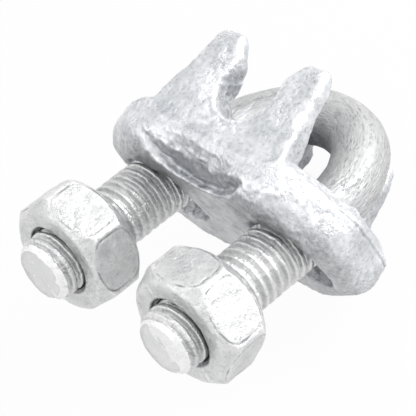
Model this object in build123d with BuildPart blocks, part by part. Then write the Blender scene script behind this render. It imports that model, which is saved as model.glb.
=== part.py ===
from build123d import *
import math
import os

# Wire rope clip with a 1/2 in thread, for 11.1 mm (7/16 in) rope: a forged saddle, a
# U-bolt with two threaded legs, and a heavy hexagon nut on each leg.
# Origin: centre of the rope seat, on the rope axis. +Z runs along the rope,
# +X points from the saddle towards the U-bolt's bow, and the legs lie at +Y and -Y.
# The U-bolt leans in its flared holes by rock_angle, as it lies when it is loose.

# Rope
rope_d = 11.1
seat_slack = 0.1

# U-bolt
thread_d = 12.7
shank_d = 11.3
leg_spacing = 31.0
leg_reach = 38.8
thread_stop = 2.0
end_chamfer = 1.3
bow_above = 24.8
bow_side_r = 24.0
bow_crown_r = 13.2
rock_angle = 24.0

# Nuts
nut_across_flats = 22.2
nut_thickness = 10.8
nut_chamfer = 2.2
nut_face_inset = 0.9
countersink = 1.6
bore_slack = 0.07
nut_inset = 4.4
nut_left_angle = 78.5
nut_right_angle = 114.0

# Saddle: the heights are above and below the throat of the leg holes
saddle_width = 57.8
saddle_length = 40.6
block_width = 34.0
boss_end_width = 17.6
boss_below = 7.2
boss_above = 4.2
parting_above = 1.9
seat_above = 5.7
bridge_above = 8.7
bridge_width = 19.0
bridge_inset = 4.0
plan_round = 8.0
under_round = 5.5
top_round = 1.6
top_slope_angle = 50.0
slot_slack = 0.75
throat_slack = 0.2
slot_flare_angle = 1.5
slot_draft_angle = 11.0
slot_relief = 6.0
cutter_margin = 2.0

# Cove under each end of the saddle, between the lip above and the ridge below. Both
# curve up towards the bosses, where the cove runs out.
cove_half_width = 13.5
cove_runout = 0.6
lip_below = 1.9
lip_flat = 0.3
lip_curve = 107.0
brow_drop = 2.4
brow_half_length = 17.6
cove_below = 5.6
cove_curve = 50.0
cove_half_length = 12.4
ridge_half_length = 13.2

# Horns
horn_above = 21.2
horn_foot_above = 0.5
horn_foot_cross = 4.0
horn_foot_out = 16.6
horn_foot_mid_in = 6.5
horn_foot_mid_out = 12.5
horn_foot_round = 1.8
horn_tip_in = 7.4
horn_tip_out = 12.7
horn_tip_mid = 15.6
horn_tip_end = 19.0
horn_tip_round = 1.5
horn_nose = 1.1
horn_nose_inset = 0.9

# Values that follow from the sizes above
seat_r = rope_d / 2 + seat_slack
leg_y = leg_spacing / 2
nut_standout = leg_reach - nut_inset
half_length = saddle_length / 2
throat_x = -(seat_above + rope_d / 2)
under_x = throat_x - boss_below
boss_x = throat_x + boss_above
parting_x = throat_x + parting_above
horn_x = throat_x + horn_above
side_turn = math.acos((bow_side_r - leg_y) / (bow_side_r - bow_crown_r))
crown_x = bow_above - bow_crown_r
bow_start = crown_x - (bow_side_r - bow_crown_r) * math.sin(side_turn)
slot_width = thread_d + 2 * slot_slack
slot_slope = math.tan(math.radians(rock_angle + slot_flare_angle))
draft_slope = math.tan(math.radians(slot_draft_angle))
rock = math.radians(rock_angle)

# The U-bolt's own plane: local x along the legs towards the bow, local y across them
bolt = Plane(
    origin=(throat_x, 0, 0),
    x_dir=(math.cos(rock), 0, -math.sin(rock)),
    z_dir=(math.sin(rock), 0, math.cos(rock)),
)


def across(distance, y):
    """Plane square to a leg, at a distance along it from the hole's throat."""
    centre = bolt.from_local_coords(Vector(distance, y, 0))
    return Plane(origin=centre, x_dir=(0, 1, 0), z_dir=bolt.x_dir)


def on_bow(turn, y_side):
    """Point of the bow's centre line where it has turned by an angle from the leg."""
    if turn <= side_turn:
        x = bow_start + bow_side_r * math.sin(turn)
        y = leg_y - bow_side_r * (1 - math.cos(turn))
    else:
        x = crown_x + bow_crown_r * math.sin(turn)
        y = bow_crown_r * math.cos(turn)
    return bolt.from_local_coords(Vector(x, y_side * y, 0))


def cove_edge(y, z_side):
    """Corners of the cove at a distance y from the middle: lip, brow, bottom and ridge."""
    fade = (abs(y) / cove_half_width) ** 2
    lip = throat_x - lip_below + y**2 / (2 * lip_curve)
    bottom = throat_x - cove_below + y**2 / (2 * cove_curve)
    corners = [
        (lip, half_length - lip_flat),
        (lip - brow_drop, brow_half_length),
        (bottom, cove_half_length),
        (under_x, ridge_half_length),
    ]
    return [(x, z_side * (z + fade * (half_length + cove_runout - z))) for x, z in corners]


# The saddle is one forging. A slab with slanted corners carries both bosses, and its
# top slopes away from the parting line left by the forging dies.
with BuildPart() as saddle:
    with BuildSketch(Plane.YZ.offset(parting_x)) as plan:
        with BuildLine():
            Polyline(
                (block_width / 2, half_length),
                (saddle_width / 2, boss_end_width / 2),
                (saddle_width / 2, -boss_end_width / 2),
                (block_width / 2, -half_length),
                (-block_width / 2, -half_length),
                (-saddle_width / 2, -boss_end_width / 2),
                (-saddle_width / 2, boss_end_width / 2),
                (-block_width / 2, half_length),
                close=True,
            )
        make_face()
        fillet(plan.vertices(), plan_round)
    extrude(amount=boss_x - parting_x, taper=top_slope_angle)
    extrude(plan.sketch, amount=under_x - parting_x)
    fillet(saddle.faces().sort_by(Axis.X)[0].edges(), under_round)
    fillet(saddle.faces().sort_by(Axis.X)[-1].edges(), top_round)

    # Low walls beside the rope, between the horns
    with BuildSketch(Plane.YZ.offset(parting_x)):
        Rectangle(bridge_width, saddle_length - 2 * bridge_inset)
    extrude(amount=bridge_above - parting_above)

    # Coves under both ends of the slab, each between a lip and a lower ridge
    for side in (1, -1):
        for share in (-0.98, -0.7, -0.35, 0, 0.35, 0.7, 0.98):
            y = share * cove_half_width
            lip, brow, bottom, ridge = cove_edge(y, side)
            with BuildSketch(Plane.XZ.offset(-y)):
                Polygon(
                    lip,
                    brow,
                    bottom,
                    ridge,
                    (under_x - cutter_margin, ridge[1]),
                    (under_x - cutter_margin, side * (half_length + cutter_margin)),
                    (lip[0], side * (half_length + cutter_margin)),
                    align=None,
                )
        loft(ruled=True, mode=Mode.SUBTRACT)

    # Horns: four prongs that taper from the slab to blunt tips beside the rope
    for y in (1, -1):
        for z in (1, -1):
            with BuildSketch(Plane.YZ.offset(throat_x + horn_foot_above)) as foot:
                Polygon(
                    (-y * horn_foot_cross, z * horn_foot_mid_in),
                    (y * horn_foot_out, z * horn_foot_mid_out),
                    (y * horn_foot_out, z * half_length),
                    (-y * horn_foot_cross, z * half_length),
                    align=None,
                )
                fillet(foot.vertices(), horn_foot_round)
            for below, inset in ((horn_nose, 0), (0, horn_nose_inset)):
                with BuildSketch(Plane.YZ.offset(horn_x - below)) as tip:
                    Polygon(
                        (y * (horn_tip_in + inset), z * (horn_tip_mid + inset)),
                        (y * (horn_tip_out - inset), z * (horn_tip_mid + inset)),
                        (y * (horn_tip_out - inset), z * (horn_tip_end - inset)),
                        (y * (horn_tip_in + inset), z * (horn_tip_end - inset)),
                        align=None,
                    )
                    fillet(tip.vertices(), horn_tip_round - inset)
            loft(ruled=True)

    # Rope seat
    with BuildSketch(Plane.XY.offset(-half_length)):
        Circle(seat_r)
        with Locations((horn_x, 0)):
            Rectangle(2 * horn_x, 2 * seat_r)
    extrude(amount=saddle_length, mode=Mode.SUBTRACT)

    # Leg holes flare from a throat to both faces, so that the U-bolt can rock
    for y in (leg_y, -leg_y):
        for far_x in (under_x, boss_x + slot_relief):
            depth = abs(far_x - throat_x)
            mouth_length = slot_width + 2 * depth * slot_slope
            mouth_width = slot_width + 2 * depth * draft_slope
            with BuildSketch(Plane.YZ.offset(throat_x)):
                with Locations((y, 0)):
                    SlotOverall(slot_width + 2 * throat_slack, slot_width, rotation=90)
            with BuildSketch(Plane.YZ.offset(far_x)):
                with Locations((y, 0)):
                    SlotOverall(mouth_length, mouth_width, rotation=90)
            loft(ruled=True, mode=Mode.SUBTRACT)
saddle.part.label = "saddle"

# The U-bolt: a round bar bent to a bow that is fuller at its crown than at its sides,
# with thicker threaded legs
with BuildPart() as u_bolt:
    with BuildLine() as centre_line:
        Line(bolt.from_local_coords(Vector(end_chamfer - leg_reach, leg_y, 0)), on_bow(0, 1))
        ThreePointArc(on_bow(0, 1), on_bow(side_turn / 2, 1), on_bow(side_turn, 1))
        ThreePointArc(on_bow(side_turn, 1), on_bow(math.pi / 2, 1), on_bow(side_turn, -1))
        ThreePointArc(on_bow(side_turn, -1), on_bow(side_turn / 2, -1), on_bow(0, -1))
        Line(on_bow(0, -1), bolt.from_local_coords(Vector(end_chamfer - leg_reach, -leg_y, 0)))
    with BuildSketch(across(end_chamfer - leg_reach, leg_y)):
        Circle(shank_d / 2)
    sweep()
    for y in (leg_y, -leg_y):
        with BuildSketch(across(-leg_reach, y)):
            Circle(thread_d / 2)
        extrude(amount=leg_reach - thread_stop)
    rims = u_bolt.edges().filter_by(GeomType.CIRCLE).filter_by(lambda e: e.radius > (thread_d + shank_d) / 4)
    rims = rims.sort_by(Axis(bolt.origin, bolt.x_dir))
    chamfer(rims[:2], end_chamfer)
u_bolt.part.label = "u_bolt"


def make_nut(y, turn):
    """A heavy hexagon nut on the leg at y, turned by an angle about its bore."""
    bore_r = thread_d / 2 + bore_slack
    corner_r = nut_across_flats / math.sqrt(3)
    face_r = nut_across_flats / 2 - nut_face_inset
    front = across(-nut_standout, y)
    axial = Plane(origin=front.origin, x_dir=bolt.x_dir, z_dir=bolt.z_dir)
    with BuildPart() as nut:
        with BuildSketch(front):
            RegularPolygon(nut_across_flats / 2, 6, major_radius=False, rotation=turn)
        extrude(amount=nut_thickness)
        with BuildSketch(axial):
            Polygon(
                (0, bore_r + countersink),
                (countersink, bore_r),
                (nut_thickness - countersink, bore_r),
                (nut_thickness, bore_r + countersink),
                (nut_thickness, face_r),
                (nut_thickness - nut_chamfer, corner_r),
                (nut_chamfer, corner_r),
                (0, face_r),
                align=None,
            )
        revolve(axis=Axis(front.origin, bolt.x_dir), mode=Mode.INTERSECT)
    return nut.part


nut_left = make_nut(leg_y, nut_left_angle)
nut_left.label = "nut_left"
nut_right = make_nut(-leg_y, nut_right_angle)
nut_right.label = "nut_right"

os.makedirs("parts", exist_ok=True)
export_step(saddle.part, "parts/saddle.step")
export_step(u_bolt.part, "parts/u_bolt.step")
export_step(nut_left, "parts/nut_left.step")
export_step(nut_right, "parts/nut_right.step")
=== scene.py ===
import math

import bmesh
import bpy
import numpy as np
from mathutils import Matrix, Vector, noise


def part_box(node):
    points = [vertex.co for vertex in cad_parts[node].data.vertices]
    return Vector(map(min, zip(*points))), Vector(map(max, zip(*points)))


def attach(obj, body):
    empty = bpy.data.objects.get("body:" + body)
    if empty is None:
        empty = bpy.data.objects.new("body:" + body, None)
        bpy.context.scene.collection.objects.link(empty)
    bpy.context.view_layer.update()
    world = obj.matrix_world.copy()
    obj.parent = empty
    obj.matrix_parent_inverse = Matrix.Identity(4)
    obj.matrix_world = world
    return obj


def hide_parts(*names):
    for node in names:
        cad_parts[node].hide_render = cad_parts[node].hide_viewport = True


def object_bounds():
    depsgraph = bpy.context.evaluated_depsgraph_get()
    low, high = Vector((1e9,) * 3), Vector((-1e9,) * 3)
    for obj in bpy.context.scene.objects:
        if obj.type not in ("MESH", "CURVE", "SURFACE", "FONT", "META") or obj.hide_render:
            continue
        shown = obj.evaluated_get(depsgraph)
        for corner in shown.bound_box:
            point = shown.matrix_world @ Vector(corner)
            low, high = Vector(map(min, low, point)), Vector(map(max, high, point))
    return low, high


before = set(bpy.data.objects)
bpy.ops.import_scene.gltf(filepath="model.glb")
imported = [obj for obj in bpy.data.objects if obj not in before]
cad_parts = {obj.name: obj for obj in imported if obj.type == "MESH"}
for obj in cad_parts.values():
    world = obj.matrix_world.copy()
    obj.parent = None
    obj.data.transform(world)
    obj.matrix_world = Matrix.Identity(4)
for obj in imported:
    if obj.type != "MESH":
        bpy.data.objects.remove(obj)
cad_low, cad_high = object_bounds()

# The saddle is a drop forging in carbon steel, trimmed and then dipped in molten
# zinc, so that every edge is soft and the skin is lumpy. The rope lies between its
# four horns, and the legs of the U-bolt pass through the flared holes of its bosses.
saddle_cell = 0.00032
saddle_softening = 11
same_point = 1e-6


def reshape(mesh, node, moves):
    """Moves each point of a mesh, but never past the node's CAD box."""
    count = len(mesh.vertices)
    place = np.zeros(count * 3)
    normal = np.zeros(count * 3)
    mesh.vertices.foreach_get("co", place)
    mesh.vertex_normals.foreach_get("vector", normal)
    place = place.reshape(-1, 3)
    normal = normal.reshape(-1, 3)
    low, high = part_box(node)
    place = np.clip(place + moves(place, normal), np.array(low), np.array(high))
    mesh.vertices.foreach_set("co", place.ravel())
    mesh.update()


def grain(place, sizes, seed):
    """Uneven thickness of the zinc: a sum of clouds, each with a size and a depth."""
    shift = Vector((seed, 2 * seed, 3 * seed))
    height = np.zeros(len(place))
    for size, depth in sizes:
        height += depth * np.array([noise.noise(Vector(p / size) + shift) for p in place])
    return height[:, None]


def settle(obj):
    """Applies the object's modifiers, so that the mesh itself has the shape."""
    bpy.context.view_layer.update()
    evaluated = obj.evaluated_get(bpy.context.evaluated_depsgraph_get())
    shaped = bpy.data.meshes.new_from_object(evaluated)
    obj.modifiers.clear()
    obj.data = shaped
    obj.data.shade_smooth()


def bell(distance, width):
    """A smooth hill, 1 at its top and about nothing past twice its width."""
    return np.exp(-(distance / width) ** 2)


def fade(value, start, end):
    """0 up to the start, 1 from the end on, and even in between."""
    return np.clip((value - start) / (end - start), 0, 1)


blank = bmesh.new()
blank.from_mesh(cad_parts["saddle"].data)
bmesh.ops.remove_doubles(blank, verts=blank.verts, dist=same_point)
saddle_mesh = bpy.data.meshes.new("saddle_forging")
blank.to_mesh(saddle_mesh)
blank.free()
saddle = bpy.data.objects.new("saddle_forging", saddle_mesh)
bpy.context.scene.collection.objects.link(saddle)
cells = saddle.modifiers.new("cells", "REMESH")
cells.mode = "VOXEL"
cells.voxel_size = saddle_cell
settle(saddle)

lip_x = -0.01315
lip_curve = 0.107
lip_edge = 0.0004
lip_roll = 1.2
lip_roll_rise = 0.0009
lip_roll_width = 0.0010
end_z = 0.0203
end_face_z = (0.0165, 0.0175)
end_face_facing = (0.5, 5 / 6)
end_face_height = 0.014
end_sink = 0.0010
swelling_rise = 0.0052
swelling_height = 0.0018
swelling_y = 0.005
swelling_width = 0.0055
rim_y = 0.0160
rim_width = 0.0019
horn_zinc = 0.00035
horn_foot = 0.005
seat_radius = 0.00565
seat_mouth = 0.0006
seat_mouth_width = 0.0016


def above_lip(place):
    """Height of each point above the lip that arches over the cove."""
    return place[:, 0] - lip_x - place[:, 1] ** 2 / (2 * lip_curve)


def die_form(place, normal):
    """The rolled lip, the sunk end face with a swelling, fuller horns and the seat's bell mouth."""
    x, y, z = place[:, 0], place[:, 1], np.abs(place[:, 2])
    rise = above_lip(place)
    end_face = fade(np.abs(normal[:, 2]), *end_face_facing) * fade(z, *end_face_z)
    end_face *= (1 - fade(rise, 0, end_face_height)) * fade(rise, 0, lip_edge)
    roll = lip_roll * bell(rise - lip_roll_rise, lip_roll_width)
    off_swelling = y * np.sign(place[:, 2]) - swelling_y
    swelling = bell(rise - swelling_rise, swelling_height) * bell(off_swelling, swelling_width)
    rim = bell(np.abs(y) - rim_y, rim_width)
    hollow = -end_sink * (1 - np.clip(roll + swelling + rim, 0, 1)) * end_face
    horns = horn_zinc * np.abs(normal[:, 1]) * fade(x, 0, horn_foot)
    from_axis = np.stack([np.minimum(x, 0), y, np.zeros(len(x))], axis=1)
    reach = np.linalg.norm(from_axis, axis=1)
    mouth = seat_mouth * bell(np.hypot(reach - seat_radius, z - end_z), seat_mouth_width)
    outward = from_axis / np.maximum(reach, same_point)[:, None]
    outward[:, 2] = -np.sign(place[:, 2])
    return normal * (hollow + horns)[:, None] + outward * mouth[:, None]


parting_x = -0.00965
parting_width = 0.0003
parting_height = 0.00018
parting_groove = 1.6
parting_step = 2
parting_sway = 0.0002
parting_wave = 0.004
parting_facing = (0.2, 8 / 15)
boss_y = (0.0165, 0.0185)
bead_height = 0.0007
bead_size = 0.0012
bead_power = 1.3
brow_drop = 0.0022
brow_width = 0.0012
brow_z = (0.013, 0.015)
saddle_seed = 1.7
saddle_zinc = [(0.0070, 0.00030), (0.0026, 0.00022), (0.0012, 0.00014), (0.0007, 0.00008)]


def zinc_and_line(place, normal):
    """The line left where the dies met, beads of zinc under the lip, and the uneven skin."""
    upright = 1 - fade(np.abs(normal[:, 0]), *parting_facing)
    on_boss = fade(np.abs(place[:, 1]), *boss_y)
    sway = parting_sway * np.sin(place[:, 1] / parting_wave)
    off = (place[:, 0] - parting_x - sway) / parting_width
    line = parting_height * (bell(off - parting_step, 1) - parting_groove * bell(off, 1))
    line *= upright * on_boss
    beads = np.array([max(0, noise.noise(Vector(p / bead_size))) ** bead_power for p in place])
    on_brow = bell(above_lip(place) + brow_drop, brow_width) * fade(np.abs(place[:, 2]), *brow_z)
    lumps = (line + bead_height * beads * on_brow)[:, None]
    return normal * (lumps + grain(place, saddle_zinc, saddle_seed))


reshape(saddle.data, "saddle", die_form)
soft = saddle.modifiers.new("soft", "SMOOTH")
soft.factor = 0.5
soft.iterations = saddle_softening
settle(saddle)
reshape(saddle.data, "saddle", zinc_and_line)

zinc_metallic = 0.78
clean = (1, 1, 1)
pit_grey = (0.52, 0.53, 0.55)
crack_grey = (0.58, 0.59, 0.61)
# Painted shade in the folds and a painted highlight on the ridges, from the mesh's pointiness.
fold_shade_grey = (0.55, 0.56, 0.58)
painted_ridge_highlight = (1.16, 1.16, 1.16)
# Painted shade in corners and between parts, from ambient occlusion.
corner_shade_grey = (0.36, 0.37, 0.39)
corner_shade_reach = 0.016
corner_shade_samples = 8
pit_crinkles = 0.55
lump_crinkles = 2.2
crack_crinkles = 2.4
pit_depth = 0.00022
lump_height = 0.0006
crack_depth = 0.00016
tone_patch = 0.006
skin_patch = 0.0045
crack_patch = 0.0035
gloss_patch = 0.0021
tone_spread = (0.38, 0.62)
skin_spread = (0.38, 0.62)
crack_spread = (0.44, 0.60)
gloss_spread = (0.35, 0.65)
pit_spread = (0.30, 0.46)
crack_line = (0.003, 0.020)
fold_shade_to_highlight = (0.44, 0.53)
corner_shade_spread = (0.15, 0.8)
# Painted shade on the faces turned towards the nuts.
painted_nut_side_spread = (0.05, 0.3)
# Painted shade in the creases round a nut's flats.
crease_shade_spread = (0.4, 1.0)
calm_skin = 0.35
rough_skin = 1.3
closed_crack = 0.04
cloud_middle = 0.5
glossier = 0.14
duller = 0.10
mix_a, mix_b, mix_result = 6, 7, 2


def zinc_finish(
    name, dull, bright, roughness, crinkle, pitted, shade, rolled=False, nut_side_shade_tone=1.0, crease_shade_grey=None
):
    """Hot-dip zinc: silver grey in patches, with pits, cracks and lumps, and darker in its folds.

    crinkle is the size of its small forms and pitted their strength. shade is the strength of the
    painted shade in the folds and corners and of the painted highlight on the ridges. rolled lays
    them along a bar. The next argument is the tone of the painted shade on the side towards the
    nuts, and the last that of the painted shade in the creases round a nut's flats.
    """
    material = bpy.data.materials.new(name)
    material.use_nodes = True
    tree = material.node_tree
    shader = tree.nodes["Principled BSDF"]
    shader.inputs["Metallic"].default_value = zinc_metallic
    where = tree.nodes.new("ShaderNodeTexCoord").outputs["Object"]
    if rolled:
        along_bar = tree.nodes.new("ShaderNodeAttribute")
        along_bar.attribute_name = "bar_place"
        where = along_bar.outputs["Vector"]

    def cloud(size, detail, coarse=0.5):
        texture = tree.nodes.new("ShaderNodeTexNoise")
        texture.inputs["Scale"].default_value = 1 / size
        texture.inputs["Detail"].default_value = detail
        texture.inputs["Roughness"].default_value = coarse
        tree.links.new(where, texture.inputs["Vector"])
        return texture.outputs["Fac"]

    def span(value, spread, to_low, to_high):
        level = tree.nodes.new("ShaderNodeMapRange")
        level.inputs["From Min"].default_value = spread[0]
        level.inputs["From Max"].default_value = spread[1]
        level.inputs["To Min"].default_value = to_low
        level.inputs["To Max"].default_value = to_high
        tree.links.new(value, level.inputs["Value"])
        return level.outputs["Result"]

    def ramp(value, low, high, spread):
        shades = tree.nodes.new("ShaderNodeValToRGB")
        for stop, position, colour in zip(shades.color_ramp.elements, spread, (low, high)):
            stop.position = position
            stop.color = (*colour, 1)
        tree.links.new(value, shades.inputs["Fac"])
        return shades.outputs["Color"]

    def tint(tone, by, amount):
        blend = tree.nodes.new("ShaderNodeMix")
        blend.data_type = "RGBA"
        blend.blend_type = "MULTIPLY"
        blend.inputs["Factor"].default_value = amount
        tree.links.new(tone, blend.inputs[mix_a])
        tree.links.new(by, blend.inputs[mix_b])
        return blend.outputs[mix_result]

    def relief(height, distance, under=None):
        bump = tree.nodes.new("ShaderNodeBump")
        bump.inputs["Distance"].default_value = distance
        patches = cloud(skin_patch, detail=2)
        strength = span(patches, skin_spread, pitted * calm_skin, pitted * rough_skin)
        tree.links.new(strength, bump.inputs["Strength"])
        tree.links.new(height, bump.inputs["Height"])
        if under is not None:
            tree.links.new(under, bump.inputs["Normal"])
        return bump.outputs["Normal"]

    def crack_distance():
        off = tree.nodes.new("ShaderNodeMath")
        off.operation = "SUBTRACT"
        off.inputs[1].default_value = cloud_middle
        winding = cloud(crinkle * crack_crinkles, detail=5, coarse=0.68)
        tree.links.new(winding, off.inputs[0])
        both_sides = tree.nodes.new("ShaderNodeMath")
        both_sides.operation = "ABSOLUTE"
        tree.links.new(off.outputs[0], both_sides.inputs[0])
        closing = tree.nodes.new("ShaderNodeMath")
        closing.operation = "ADD"
        tree.links.new(both_sides.outputs[0], closing.inputs[0])
        patches = cloud(crack_patch, detail=2)
        tree.links.new(span(patches, crack_spread, 0.0, closed_crack), closing.inputs[1])
        return closing.outputs[0]

    pits = cloud(crinkle * pit_crinkles, detail=3, coarse=0.65)
    cracks = ramp(crack_distance(), crack_grey, clean, crack_line)
    lumps = cloud(crinkle * lump_crinkles, detail=4, coarse=0.6)
    tone = ramp(cloud(tone_patch, detail=4), dull, bright, tone_spread)
    tone = tint(tone, ramp(pits, pit_grey, clean, pit_spread), pitted)
    tone = tint(tone, cracks, pitted)
    # Painted shade in the folds and a painted highlight on the ridges, from the mesh's pointiness.
    pointiness = tree.nodes.new("ShaderNodeNewGeometry").outputs["Pointiness"]
    tone = tint(tone, ramp(pointiness, fold_shade_grey, painted_ridge_highlight, fold_shade_to_highlight), shade)
    # Painted shade in corners and between parts, from ambient occlusion.
    corner = tree.nodes.new("ShaderNodeAmbientOcclusion")
    corner.inputs["Distance"].default_value = corner_shade_reach
    corner.samples = corner_shade_samples
    tone = tint(tone, ramp(corner.outputs["AO"], corner_shade_grey, clean, corner_shade_spread), shade)
    # Painted shade on the faces turned towards the nuts.
    facing = tree.nodes.new("ShaderNodeSeparateXYZ")
    tree.links.new(tree.nodes.new("ShaderNodeTexCoord").outputs["Normal"], facing.inputs["Vector"])
    from_nuts = span(facing.outputs["X"], (-1, 1), 0, 1)
    tone = tint(tone, ramp(from_nuts, (nut_side_shade_tone, nut_side_shade_tone, nut_side_shade_tone), clean, painted_nut_side_spread), 1.0)
    # Painted shade in the creases round a nut's flats.
    if crease_shade_grey is not None:
        edge = tree.nodes.new("ShaderNodeAttribute")
        edge.attribute_name = "flat_crease_shade"
        tone = tint(tone, ramp(edge.outputs["Fac"], clean, crease_shade_grey, crease_shade_spread), 1.0)
    tree.links.new(tone, shader.inputs["Base Color"])
    patches = cloud(gloss_patch, detail=3)
    gloss = span(patches, gloss_spread, roughness - glossier, roughness + duller)
    tree.links.new(gloss, shader.inputs["Roughness"])
    normal = relief(pits, pit_depth)
    normal = relief(lumps, lump_height, normal)
    normal = relief(cracks, crack_depth, normal)
    tree.links.new(normal, shader.inputs["Normal"])
    return material


saddle.data.materials.clear()
saddle.data.materials.append(
    zinc_finish(
        "forged_zinc",
        dull=(0.67, 0.685, 0.705),
        bright=(0.83, 0.84, 0.86),
        roughness=0.42,
        crinkle=0.0010,
        pitted=0.62,
        shade=0.85,
        # Painted shade on the side of the saddle towards the nuts.
        nut_side_shade_tone=0.72,
    )
)
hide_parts("saddle")
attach(saddle, "saddle")

# The U-bolt is one round bar of galvanised carbon steel, bent in three arcs, so that its
# bow is fuller at the crown than a half circle. Its rolled thread stands proud of the bare
# bar, with roots filled by zinc, and its chamfered and sawn ends keep some torn zinc.
lean = math.radians(24)
throat = Vector((-0.01125, 0, 0))
leg_y = 0.0155
leg_reach = 0.0388
bow_above = 0.0248
bow_side_radius = 0.024
bow_crown_radius = 0.0132
bar_radius = 0.00565
bar_facets = 120
bar_step = 0.0006
bar_stretch = 0.3
along_leg = Vector((math.cos(lean), 0, -math.sin(lean)))
across_legs = Vector((0, 1, 0))
off_plane = Vector((math.sin(lean), 0, math.cos(lean)))
side_turn = math.acos((bow_side_radius - leg_y) / (bow_side_radius - bow_crown_radius))
crown_x = bow_above - bow_crown_radius
bow_start = crown_x - (bow_side_radius - bow_crown_radius) * math.sin(side_turn)
leg_length = leg_reach + bow_start
side_length = bow_side_radius * side_turn
crown_length = bow_crown_radius * (math.pi - 2 * side_turn)
bar_length = 2 * (leg_length + side_length) + crown_length


def bar_line(s):
    """Centre point of the bar and its direction, at a distance s from the left leg's end."""
    flip = -1 if s > bar_length / 2 else 1
    u = min(s, bar_length - s)
    if u <= leg_length:
        turn = 0
        x = u - leg_reach
        y = leg_y
    elif u <= leg_length + side_length:
        turn = (u - leg_length) / bow_side_radius
        x = bow_start + bow_side_radius * math.sin(turn)
        y = leg_y - bow_side_radius * (1 - math.cos(turn))
    else:
        turn = side_turn + (u - leg_length - side_length) / bow_crown_radius
        x = crown_x + bow_crown_radius * math.sin(turn)
        y = bow_crown_radius * math.cos(turn)
    point = throat + along_leg * x + across_legs * y * flip
    return point, along_leg * math.cos(turn) * flip - across_legs * math.sin(turn)


thread_radius = 0.00635
thread_depth = 0.0009
thread_pitch = 0.0254 / 13
thread_end = 0.0368
thread_rows = 14
runout = 0.0026
root_share = 0.16
flank_share = 0.50
crest_wander = 0.1


def thread_form(turns):
    """Height of the zinc-filled thread, from 0 in its narrow root to 1 on its broad crest."""
    off_root = abs(turns - math.floor(turns) - 0.5) * 2
    rise = min(1, max(0, (off_root - root_share) / flank_share))
    return rise * rise * (3 - 2 * rise)


end_chamfer = 0.0013
end_tear = 0.0008


def bar_size(s, angle, ragged):
    """Radius of the bar at a distance s along it and at an angle round it."""
    end = min(s, bar_length - s)
    threaded = min(1, max(0, (thread_end - end) / runout))
    turns = s / thread_pitch - angle / (2 * math.pi)
    crest = thread_radius - thread_depth * (1 - thread_form(turns + crest_wander * ragged))
    radius = bar_radius + (crest - bar_radius) * threaded
    torn = end_tear * max(0, ragged) * max(0, 1 - abs(end - end_chamfer) / end_chamfer)
    return min(radius, thread_radius - end_chamfer + end) - torn


stations = []
s = 0.0
while s < bar_length / 2:
    stations.append(s)
    s += thread_pitch / thread_rows if s < thread_end + runout else bar_step
stations = stations + [bar_length / 2] + [bar_length - v for v in reversed(stations)]
tear_size = 0.0011
torn_chamfer = 0.8 * end_chamfer
bare_slot, thread_slot, sawn_slot, torn_slot = range(4)
bar = bmesh.new()
place_layer = bar.verts.layers.float_vector.new("bar_place")
rings = []
for s in stations:
    centre, ahead = bar_line(s)
    side = off_plane.cross(ahead)
    ring = []
    for k in range(bar_facets):
        angle = 2 * math.pi * k / bar_facets
        round_bar = Vector((0, math.cos(angle), math.sin(angle))) * thread_radius
        spoke = side * math.cos(angle) + off_plane * math.sin(angle)
        ragged = noise.noise((round_bar + Vector((s, 0, 0))) / tear_size)
        vertex = bar.verts.new(centre + spoke * bar_size(s, angle, ragged))
        vertex[place_layer] = round_bar + Vector((s * bar_stretch, 0, 0))
        ring.append(vertex)
    rings.append(ring)
for a, b, s in zip(rings, rings[1:], stations):
    end = min(s, bar_length - s)
    zinc = thread_slot if end < thread_end else bare_slot
    for k in range(bar_facets):
        j = (k + 1) % bar_facets
        face = bar.faces.new((a[k], a[j], b[j], b[k]))
        face.material_index = torn_slot if end < torn_chamfer else zinc

disc_rows = 24
disc_sink = 0.00022
flap_side = off_plane * 0.68 - across_legs * 0.73
flap_edge = 0.1
flap_jags = 0.3
flap_jag_size = 0.0014
flap_lumps = 0.3
flap_lump_size = 0.0006


def close_end(ring, s, inwards, flap_from):
    """Closes a leg with its sunk sawn disc, and with torn zinc past flap_from towards flap_side."""
    centre, ahead = bar_line(s)
    last = [(vertex, True) for vertex in ring]
    for i in range(1, disc_rows):
        inner = []
        for vertex in ring:
            reach = (vertex.co - centre).normalized() * (1 - i / disc_rows)
            point = centre + reach * (thread_radius - end_chamfer)
            past = reach.dot(flap_side) - flap_from + flap_jags * noise.noise(point / flap_jag_size)
            torn = min(1, max(0, 0.5 + past / flap_edge))
            lump = flap_lumps * torn * noise.noise(point / flap_lump_size)
            depth = disc_sink * (1 - torn + lump)
            inner.append((bar.verts.new(point + ahead * inwards * depth), torn > 0.5))
        for k in range(bar_facets):
            j = (k + 1) % bar_facets
            face = bar.faces.new((last[k][0], last[j][0], inner[j][0], inner[k][0]))
            face.material_index = torn_slot if inner[k][1] else sawn_slot
        last = inner
    hub = bar.verts.new(centre + ahead * inwards * disc_sink)
    for k in range(bar_facets):
        face = bar.faces.new((last[k][0], last[(k + 1) % bar_facets][0], hub))
        face.material_index = sawn_slot


close_end(rings[0], 0.0, inwards=1, flap_from=0.8)
close_end(rings[-1], bar_length, inwards=-1, flap_from=0.15)
bmesh.ops.recalc_face_normals(bar, faces=bar.faces)
bar_mesh = bpy.data.meshes.new("u_bolt_bar")
bar.to_mesh(bar_mesh)
bar.free()
bar_mesh.shade_smooth()


def zinc_skin(sizes, seed, sink):
    """The moves that give a mesh its uneven zinc, sunk a little, so that it keeps its size."""
    return lambda place, normal: normal * (grain(place, sizes, seed) - sink)


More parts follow.
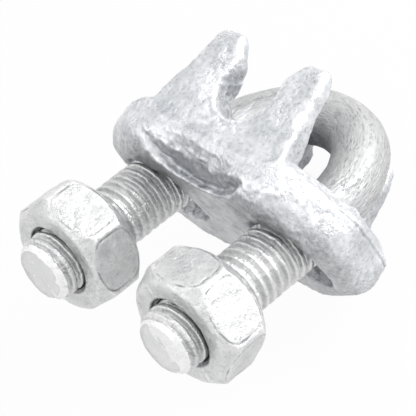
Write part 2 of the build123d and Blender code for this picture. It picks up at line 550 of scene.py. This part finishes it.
bar_seed = 5.3
bar_sink = 0.00007
bar_skin = [(0.005, 0.00010), (0.0018, 0.00008), (0.0009, 0.00005)]
reshape(bar_mesh, "u_bolt", zinc_skin(bar_skin, bar_seed, bar_sink))
u_bolt = bpy.data.objects.new("u_bolt_bar", bar_mesh)
bpy.context.scene.collection.objects.link(u_bolt)
bar_mesh.materials.append(
    zinc_finish(
        "bar_zinc",
        dull=(0.53, 0.53, 0.53),
        bright=(0.62, 0.62, 0.615),
        roughness=0.64,
        crinkle=0.0008,
        pitted=0.8,
        shade=0.9,
        rolled=True,
    )
)
bar_mesh.materials.append(
    zinc_finish(
        "thread_zinc",
        dull=(0.72, 0.72, 0.72),
        bright=(0.82, 0.82, 0.815),
        roughness=0.40,
        crinkle=0.0006,
        pitted=0.6,
        shade=0.2,
        rolled=True,
    )
)
bar_mesh.materials.append(
    zinc_finish(
        "sawn_end_zinc",
        dull=(0.77, 0.77, 0.77),
        bright=(0.82, 0.82, 0.815),
        roughness=0.5,
        crinkle=0.0014,
        pitted=0.06,
        shade=0.6,
    )
)
bar_mesh.materials.append(
    zinc_finish(
        "torn_end_zinc",
        dull=(0.94, 0.94, 0.94),
        bright=(0.98, 0.98, 0.975),
        roughness=0.45,
        crinkle=0.0006,
        pitted=0.35,
        shade=0.3,
    )
)
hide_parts("u_bolt")
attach(u_bolt, "u_bolt")

# The two nuts are heavy hexagon nuts of galvanised steel, hot formed, tapped oversize
# after the dip and chamfered on both faces. Each is run onto a leg, with about 4 mm of
# the leg standing out of its outer face.
nut_flats = 0.0222
nut_thick = 0.0108
nut_chamfer = 0.0027
nut_face_step = 0.0007
nut_face_radius = nut_flats / 2 - nut_face_step
nut_bore = 0.00642
nut_countersink = 0.0008
nut_thread_depth = 0.0005
nut_standout = 0.0344
nut_edge = 0.0004
nut_facets = 360
nut_rows = 60
bore_rows = 70
face_rows = 8
corner_radius = 0.0018
corner_centre = (nut_flats / 2 - corner_radius) / math.cos(math.pi / 6)
corner_turn = math.atan2(corner_radius / 2, corner_centre + corner_radius * math.cos(math.pi / 6))
crease_depth = 0.00012
crease_width = 0.00024
flat_round = 0.0014


def nut_side(angle, t):
    """Radius of the side at a height t above the outer face, and how near a flat's edge it is."""
    depth = min(t, nut_thick - t)
    corner = nut_flats / math.sqrt(3)
    cone = nut_face_radius + (corner - nut_face_radius) * depth / nut_chamfer
    off_corner = abs((angle + math.pi / 6) % (math.pi / 3) - math.pi / 6)
    if off_corner < corner_turn:
        slant = corner_centre * math.sin(off_corner)
        side = corner_centre * math.cos(off_corner) + math.sqrt(corner_radius ** 2 - slant ** 2)
    else:
        side = nut_flats / 2 / math.cos(math.pi / 6 - off_corner)
    from_ends = (cone - side) * nut_chamfer / (corner - nut_face_radius)
    from_corner = (off_corner - corner_turn) * nut_flats / 2
    cut = math.hypot(max(0, flat_round - from_ends), max(0, flat_round - from_corner))
    edge = math.exp(-((flat_round - cut) / crease_width) ** 2)
    radius = min(side, cone) - crease_depth * edge
    if depth < nut_edge:
        radius -= nut_edge - math.sqrt(nut_edge ** 2 - (nut_edge - depth) ** 2)
    return radius, edge


def nut_section(angle):
    """Points (height, radius, edge) once round the nut's wall: side, inner face, bore, outer face."""
    points = []
    for k in range(nut_rows + 1):
        t = nut_thick * (0.5 - 0.5 * math.cos(math.pi * k / nut_rows))
        points.append((t, *nut_side(angle, t)))
    mouth = nut_bore + nut_countersink
    rim = points[-1][1]
    for k in range(1, face_rows):
        points.append((nut_thick, rim + (mouth - rim) * k / face_rows, 0))
    for k in range(bore_rows + 1):
        t = nut_thick * (1 - k / bore_rows)
        flare = max(0, nut_countersink - min(t, nut_thick - t))
        groove = 1 - thread_form(t / thread_pitch - angle / (2 * math.pi))
        points.append((t, nut_bore + max(flare, nut_thread_depth * groove), 0))
    for k in range(1, face_rows):
        points.append((0, mouth + (rim - mouth) * k / face_rows, 0))
    return points


crease_mean = 0.75
crease_gap = 0.0028
crease_speck = 0.0008


def crease_shade_strength(point):
    """Strength of the painted shade in a flat's crease at a point, dying out here and there."""
    return crease_mean + noise.noise(point / crease_gap) + 0.5 * noise.noise(point / crease_speck)


nut_zinc = zinc_finish(
    "nut_zinc",
    dull=(0.70, 0.70, 0.70),
    bright=(0.79, 0.79, 0.785),
    roughness=0.44,
    crinkle=0.0010,
    pitted=0.5,
    shade=0.95,
    # Painted shade in the creases round the flats.
    crease_shade_grey=(0.5, 0.5, 0.51),
)
nut_sink = 0.00008
nut_skin = [(0.006, 0.00014), (0.002, 0.00009), (0.0009, 0.00004)]


def make_nut(name, body, y, turn, seed):
    """One nut on the leg at y, turned about its bore by the angle at which it was left."""
    wall = bmesh.new()
    base = throat - along_leg * nut_standout + across_legs * y
    up = along_leg.cross(across_legs)
    # Strength of the painted shade in the creases round the flats.
    crease_shade_layer = wall.verts.layers.float.new("flat_crease_shade")
    columns = []
    for k in range(nut_facets):
        angle = 2 * math.pi * k / nut_facets
        spoke = across_legs * math.cos(angle + turn) + up * math.sin(angle + turn)
        column = []
        for t, r, edge in nut_section(angle):
            vertex = wall.verts.new(base + along_leg * t + spoke * r)
            vertex[crease_shade_layer] = edge * crease_shade_strength(vertex.co)
            column.append(vertex)
        columns.append(column)
    for k in range(nut_facets):
        a = columns[k]
        b = columns[(k + 1) % nut_facets]
        for i in range(len(a)):
            j = (i + 1) % len(a)
            wall.faces.new((a[i], a[j], b[j], b[i]))
    bmesh.ops.recalc_face_normals(wall, faces=wall.faces)
    mesh = bpy.data.meshes.new(name)
    wall.to_mesh(mesh)
    wall.free()
    mesh.shade_smooth()
    reshape(mesh, body, zinc_skin(nut_skin, seed, nut_sink))
    nut = bpy.data.objects.new(name, mesh)
    bpy.context.scene.collection.objects.link(nut)
    mesh.materials.append(nut_zinc)
    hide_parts(body)
    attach(nut, body)


make_nut("nut_left_heavy_hex", "nut_left", y=leg_y, turn=math.radians(78.5), seed=2.9)
make_nut("nut_right_heavy_hex", "nut_right", y=-leg_y, turn=math.radians(114), seed=7.1)

# The clip stands on the end of its saddle, on a sheet of white paper. The sheet stays
# white around the clip, also where the zinc mirrors it, and keeps a soft shadow.
sheet_half = 3
paper_tone = (0.9, 0.9, 0.9, 1)
paper_roughness = 0.9
glow_share = 0.96


def seen_or_mirrored(tree):
    """1 for what the camera sees itself or mirrored in the zinc, and 0 for all else."""
    path = tree.nodes.new("ShaderNodeLightPath")
    either = tree.nodes.new("ShaderNodeMath")
    either.operation = "MAXIMUM"
    tree.links.new(path.outputs["Is Camera Ray"], either.inputs[0])
    tree.links.new(path.outputs["Is Glossy Ray"], either.inputs[1])
    return either.outputs[0]


sheet_mesh = bpy.data.meshes.new("white_sheet")
sheet_corners = [
    (x * sheet_half, y * sheet_half, cad_low.z) for x, y in ((-1, -1), (1, -1), (1, 1), (-1, 1))
]
sheet_mesh.from_pydata(sheet_corners, [], [(0, 1, 2, 3)])
sheet = bpy.data.objects.new("white_sheet", sheet_mesh)
bpy.context.scene.collection.objects.link(sheet)
paper = bpy.data.materials.new("white_paper")
paper.use_nodes = True
paper_tree = paper.node_tree
paper_shader = paper_tree.nodes["Principled BSDF"]
paper_shader.inputs["Base Color"].default_value = paper_tone
paper_shader.inputs["Roughness"].default_value = paper_roughness
paper_shader.inputs["Specular IOR Level"].default_value = 0.0
glow = paper_tree.nodes.new("ShaderNodeEmission")
glow.inputs["Color"].default_value = (1, 1, 1, 1)
share = paper_tree.nodes.new("ShaderNodeMath")
share.operation = "MULTIPLY"
share.inputs[1].default_value = glow_share
paper_tree.links.new(seen_or_mirrored(paper_tree), share.inputs[0])
paper_mix = paper_tree.nodes.new("ShaderNodeMixShader")
paper_tree.links.new(share.outputs[0], paper_mix.inputs["Fac"])
paper_tree.links.new(paper_shader.outputs[0], paper_mix.inputs[1])
paper_tree.links.new(glow.outputs[0], paper_mix.inputs[2])
paper_tree.links.new(paper_mix.outputs[0], paper_tree.nodes["Material Output"].inputs["Surface"])
sheet_mesh.materials.append(paper)

# The camera stands well back, high on the side of the near leg, with a long lens. It is
# rolled, so that the rope's line points to the upper left of the picture.
camera_place = (-0.07906, -0.19086, 0.26499)
camera_turn = (30.575, 23.416, -51.308)
focal_length = 156.08
film_width = 36
lens = bpy.data.cameras.new("camera")
lens.lens = focal_length
lens.sensor_width = film_width
camera = bpy.data.objects.new("camera", lens)
camera.location = camera_place
camera.rotation_euler = [math.radians(degrees) for degrees in camera_turn]
bpy.context.scene.collection.objects.link(camera)
bpy.context.scene.camera = camera

# Soft studio light: a large key lamp to the upper right of the picture, a weaker fill
# lamp to its left, and a pale room that the zinc mirrors as white.
room_strength = 0.5
mirrored_strength = 1.0
clip_middle = Vector((-0.0163, 0, 0.002))
bpy.context.view_layer.update()
camera_axes = camera.matrix_world.to_3x3()
for name, aim, distance, size, power in (
    ("key", (0.60, 0.64, 0.47), 0.6, 0.4, 3.2),
    ("fill", (-0.8, 0.1, 0.6), 0.7, 0.5, 0.8),
):
    lamp = bpy.data.lights.new(name, "AREA")
    lamp.size = size
    lamp.energy = power
    stand = bpy.data.objects.new(name, lamp)
    stand.location = clip_middle + (camera_axes @ Vector(aim)).normalized() * distance
    stand.rotation_euler = (clip_middle - stand.location).to_track_quat("-Z", "Y").to_euler()
    bpy.context.scene.collection.objects.link(stand)
room = bpy.data.worlds.new("pale_room")
room.use_nodes = True
room_tree = room.node_tree
room_light = room_tree.nodes["Background"]
room_light.inputs["Color"].default_value = (1, 1, 1, 1)
room_level = room_tree.nodes.new("ShaderNodeMapRange")
room_level.inputs["To Min"].default_value = room_strength
room_level.inputs["To Max"].default_value = mirrored_strength
room_tree.links.new(seen_or_mirrored(room_tree), room_level.inputs["Value"])
room_tree.links.new(room_level.outputs["Result"], room_light.inputs["Strength"])
bpy.context.scene.world = room
bpy.context.scene.view_settings.view_transform = "Standard"
